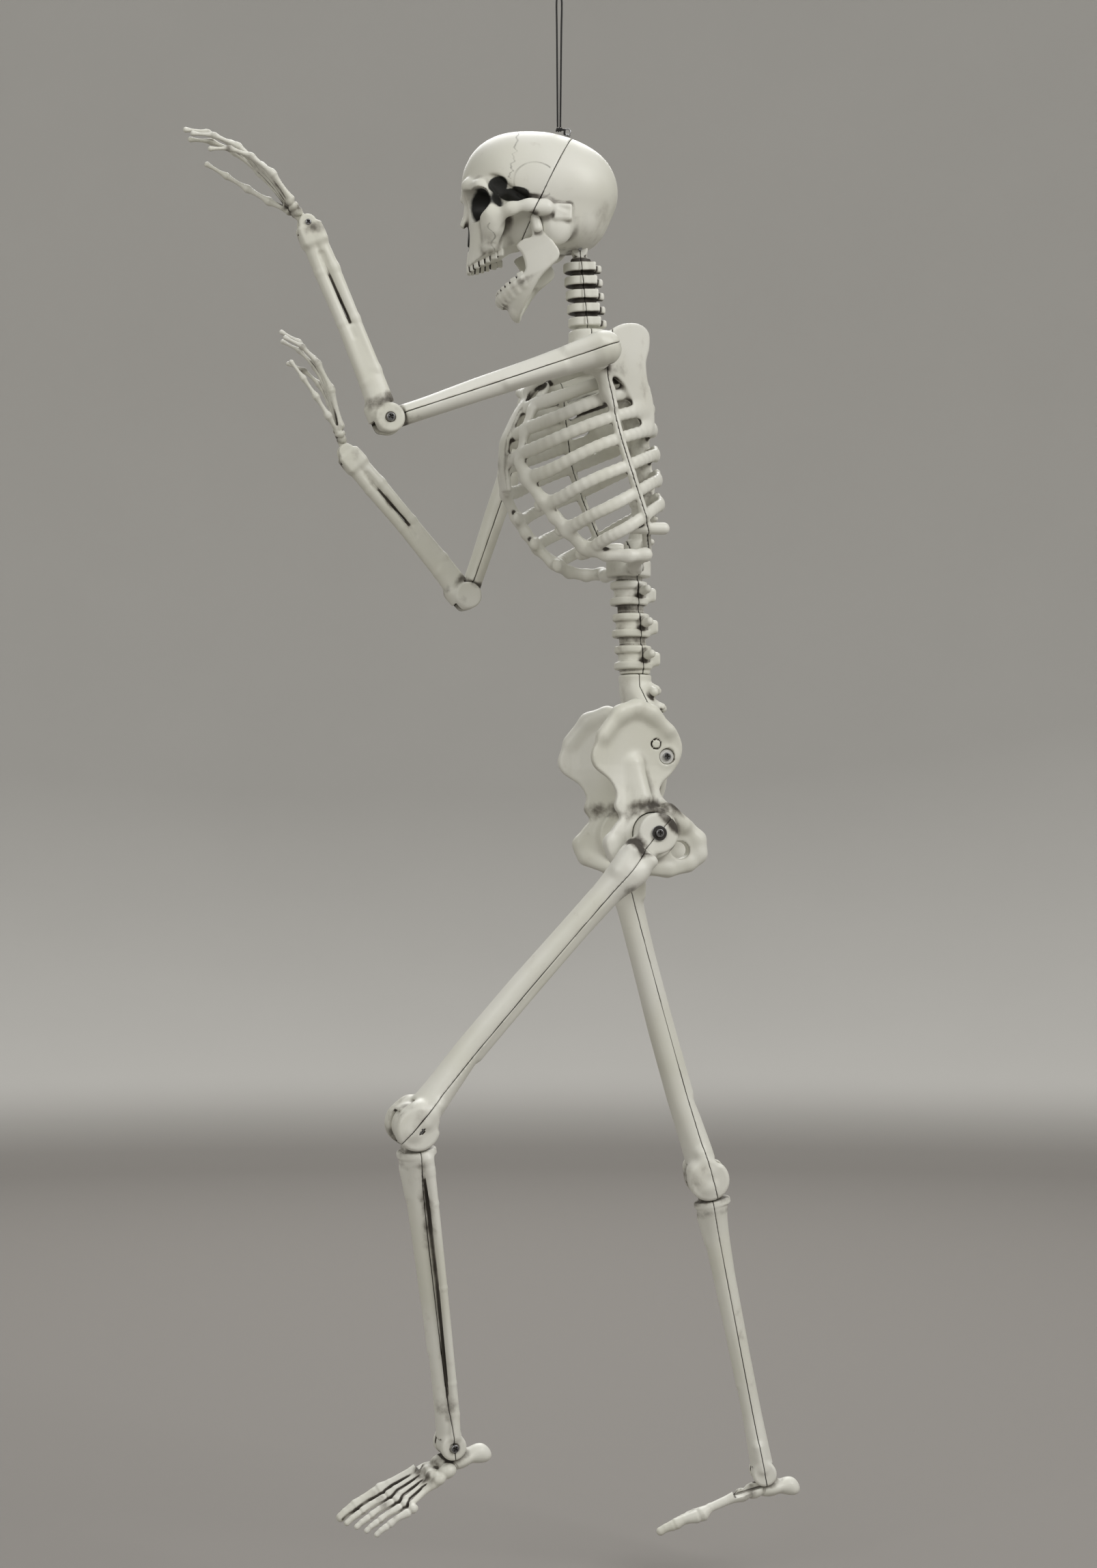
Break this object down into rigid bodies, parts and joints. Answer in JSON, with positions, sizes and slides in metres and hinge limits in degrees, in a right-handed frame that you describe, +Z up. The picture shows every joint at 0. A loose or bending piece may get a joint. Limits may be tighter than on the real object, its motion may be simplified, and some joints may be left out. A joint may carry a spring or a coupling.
{
  "type": "hanging posable skeleton figure",
  "caption": "Human skeleton decoration in moulded plastic shells, hung by an elastic loop, with a hinged jaw and limbs that turn on screws and hold a pose.",
  "frame": {"origin": "inside top of the hanging cord's loop, on the figure's middle plane; the whole figure hangs below it", "axes": "+Z up, the figure faces -Y, and its left side is at +X"},
  "size_m": [0.3608, 0.7094, 1.6801],
  "materials": {
    "bone_plastic": "ivory-white moulded plastic, softly glossy, with a brown-black wash in the hollows and along the seams",
    "white_plastic": "plain white moulded plastic",
    "screw_steel": "zinc-plated steel, slightly dulled",
    "elastic_cord": "black braided elastic cord"
  },
  "bodies": {
    "skull": {"skull_front": "bone_plastic", "skull_rear": "bone_plastic", "hanging_eyelet": "screw_steel", "hanging_cord": "elastic_cord", "cord_knot": "elastic_cord", "neck_pin": "screw_steel"},
    "jaw": {"jaw": "bone_plastic"},
    "neck": {"neck_front": "bone_plastic", "neck_rear": "bone_plastic"},
    "torso": {"ribcage_front": "bone_plastic", "ribcage_rear": "bone_plastic", "ribcage_screw_left": "screw_steel", "ribcage_screw_right": "screw_steel", "lumbar_front": "bone_plastic", "lumbar_rear": "bone_plastic"},
    "pelvis": {"sacrum_front": "bone_plastic", "sacrum_rear": "bone_plastic", "hip_bone_left": "bone_plastic", "hip_bone_right": "bone_plastic", "pelvis_washer_left": "white_plastic", "pelvis_washer_right": "white_plastic", "pelvis_screw_left": "screw_steel", "pelvis_screw_right": "screw_steel", "left_hip_washer": "screw_steel", "right_hip_washer": "screw_steel", "left_hip_screw": "screw_steel", "right_hip_screw": "screw_steel"},
    "left_thigh": {"left_femur_front": "bone_plastic", "left_femur_rear": "bone_plastic", "left_knee_screw": "screw_steel"},
    "left_shin": {"left_shin_front": "bone_plastic", "left_shin_rear": "bone_plastic", "left_ankle_screw": "screw_steel"},
    "left_foot": {"left_foot": "bone_plastic"},
    "left_shoulder": {"left_shoulder_knuckle": "white_plastic"},
    "left_upper_arm": {"left_humerus_front": "bone_plastic", "left_humerus_rear": "bone_plastic", "left_shoulder_screw": "screw_steel", "left_elbow_screw": "screw_steel"},
    "left_forearm": {"left_forearm": "bone_plastic", "left_wrist_screw": "screw_steel"},
    "left_hand": {"left_hand": "bone_plastic"},
    "right_thigh": {"right_femur_front": "bone_plastic", "right_femur_rear": "bone_plastic", "right_knee_screw": "screw_steel"},
    "right_shin": {"right_shin_front": "bone_plastic", "right_shin_rear": "bone_plastic", "right_ankle_screw": "screw_steel"},
    "right_foot": {"right_foot": "bone_plastic"},
    "right_shoulder": {"right_shoulder_knuckle": "white_plastic"},
    "right_upper_arm": {"right_humerus_front": "bone_plastic", "right_humerus_rear": "bone_plastic", "right_shoulder_screw": "screw_steel", "right_elbow_screw": "screw_steel"},
    "right_forearm": {"right_forearm": "bone_plastic", "right_wrist_screw": "screw_steel"},
    "right_hand": {"right_hand": "bone_plastic"}
  },
  "joints": [
    {"name": "jaw_hinge", "type": "hinge", "parent": "skull", "child": "jaw", "pos_m": [-0.00986, -0.02524, -0.258], "axis": [0.9848, -0.1736, 0], "range_deg": [-21, 8]},
    {"name": "head_nod", "type": "hinge", "parent": "skull", "child": "neck", "pos_m": [-0.00139, 0.02282, -0.273], "axis": [0.9848, -0.1736, 0], "range_deg": [-15, 15]},
    {"name": "neck_turn", "type": "hinge", "parent": "neck", "child": "torso", "pos_m": [0, 0.0307, -0.359], "axis": [0, 0, 1], "range_deg": [-70, 50]},
    {"name": "waist_turn", "type": "hinge", "parent": "torso", "child": "pelvis", "pos_m": [0, 0.0837, -0.73], "axis": [0, 0, 1], "range_deg": [-60, 60]},
    {"name": "left_hip", "type": "hinge", "parent": "pelvis", "child": "left_thigh", "pos_m": [0.093, 0.0842, -0.902], "axis": [-1, 0, 0], "range_deg": [-66.4, 53.6]},
    {"name": "left_knee", "type": "hinge", "parent": "left_thigh", "child": "left_shin", "pos_m": [0.105, -0.17768, -1.19904], "axis": [0.9877, 0.1173, -0.1035], "range_deg": [-55.8, 55.2]},
    {"name": "left_ankle", "type": "hinge", "parent": "left_shin", "child": "left_foot", "pos_m": [0.06485, -0.13097, -1.52935], "axis": [0.9877, 0.1173, -0.1035], "range_deg": [-31, 19]},
    {"name": "left_shoulder_swing", "type": "hinge", "parent": "torso", "child": "left_shoulder", "pos_m": [0.16, 0.0097, -0.409], "axis": [-1, 0, 0], "range_deg": [-110, 90]},
    {"name": "left_shoulder_lift", "type": "hinge", "parent": "left_shoulder", "child": "left_upper_arm", "pos_m": [0.16, 0.0097, -0.409], "axis": [0, -0.342, 0.9397], "range_deg": [0, 80]},
    {"name": "left_elbow", "type": "hinge", "parent": "left_upper_arm", "child": "left_forearm", "pos_m": [0.16, -0.21301, -0.49006], "axis": [-1, 0, 0], "range_deg": [-86.7, 41.3]},
    {"name": "left_wrist", "type": "hinge", "parent": "left_forearm", "child": "left_hand", "pos_m": [0.16, -0.29568, -0.2981], "axis": [1, 0, 0], "range_deg": [-55, 15]},
    {"name": "right_hip", "type": "hinge", "parent": "pelvis", "child": "right_thigh", "pos_m": [-0.093, 0.0842, -0.902], "axis": [-1, 0, 0], "range_deg": [-9, 111]},
    {"name": "right_knee", "type": "hinge", "parent": "right_thigh", "child": "right_shin", "pos_m": [-0.105, 0.19335, -1.28266], "axis": [0.9877, -0.1504, -0.0431], "range_deg": [-1.3, 109.7]},
    {"name": "right_ankle", "type": "hinge", "parent": "right_shin", "child": "right_foot", "pos_m": [-0.10931, 0.25952, -1.61205], "axis": [0.9877, -0.1504, -0.0431], "range_deg": [-19, 31]},
    {"name": "right_shoulder_swing", "type": "hinge", "parent": "torso", "child": "right_shoulder", "pos_m": [-0.16, 0.0097, -0.409], "axis": [-1, 0, 0], "range_deg": [-59.5, 140.5]},
    {"name": "right_shoulder_lift", "type": "hinge", "parent": "right_shoulder", "child": "right_upper_arm", "pos_m": [-0.16, 0.0097, -0.409], "axis": [0, 0.9426, -0.3338], "range_deg": [0, 80]},
    {"name": "right_elbow", "type": "hinge", "parent": "right_upper_arm", "child": "right_forearm", "pos_m": [-0.16, -0.06941, -0.63241], "axis": [-1, 0, 0], "range_deg": [-119.4, 8.6]},
    {"name": "right_wrist", "type": "hinge", "parent": "right_forearm", "child": "right_hand", "pos_m": [-0.16, -0.2068, -0.47491], "axis": [1, 0, 0], "range_deg": [-13, 57]}
  ]
}
